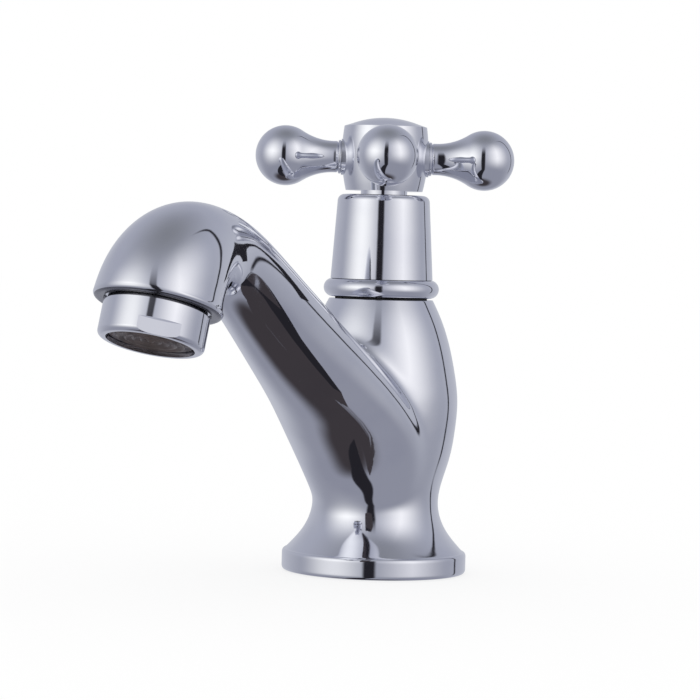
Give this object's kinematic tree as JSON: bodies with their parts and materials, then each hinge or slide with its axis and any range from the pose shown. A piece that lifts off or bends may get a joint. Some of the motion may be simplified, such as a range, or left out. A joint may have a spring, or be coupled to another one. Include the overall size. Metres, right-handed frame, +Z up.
{
  "type": "cross handle basin tap",
  "caption": "Chrome pillar tap for a basin: a curved spout with an aerator rises from a waisted column, and a cross handle with ball-ended arms turns the valve.",
  "frame": {"origin": "centre of the round base, on its underside, at the mouth of the inlet socket", "axes": "+Z up along the column and the handle's spindle, the spout reaches along -Y, +X to the right as seen from the user's side"},
  "size_m": [0.0578, 0.1441, 0.1133],
  "materials": {
    "chrome": "polished chrome plate",
    "headwork_brass": "turned, unplated",
    "disc_ceramic": "lapped",
    "seal_rubber": "matt",
    "white_plastic": "moulded",
    "dark_plastic": "moulded",
    "spring_steel": "bright",
    "screen_steel": "woven wire"
  },
  "bodies": {
    "root": {"body_casting": "chrome", "base_seal": "seal_rubber", "neck_washer": "seal_rubber", "headwork_body": "headwork_brass", "seat_seal": "seal_rubber", "fixed_ceramic_disc": "disc_ceramic", "slip_washer": "white_plastic", "shroud": "chrome", "aerator_housing": "chrome", "aerator_washer": "seal_rubber", "aerator_insert": "dark_plastic", "aerator_screens": "screen_steel", "aerator_jet_disc": "dark_plastic", "aerator_strainer": "screen_steel"},
    "handle": {"moving_ceramic_disc": "disc_ceramic", "spindle": "headwork_brass", "spindle_o_rings": "seal_rubber", "retaining_clip": "spring_steel", "stop_ring": "headwork_brass", "handle_hub": "chrome", "handle_cap": "chrome", "handle_screw": "spring_steel", "handle_arm_front": "chrome", "arm_collar_front": "chrome", "handle_arm_right": "chrome", "arm_collar_right": "chrome", "handle_arm_back": "chrome", "arm_collar_back": "chrome", "handle_arm_left": "chrome", "arm_collar_left": "chrome"}
  },
  "joints": [
    {"name": "handle_turn", "type": "hinge", "parent": "root", "child": "handle", "pos_m": [0, 0, 0.1033], "axis": [0, 0, 1], "range_deg": [0, 90]}
  ]
}
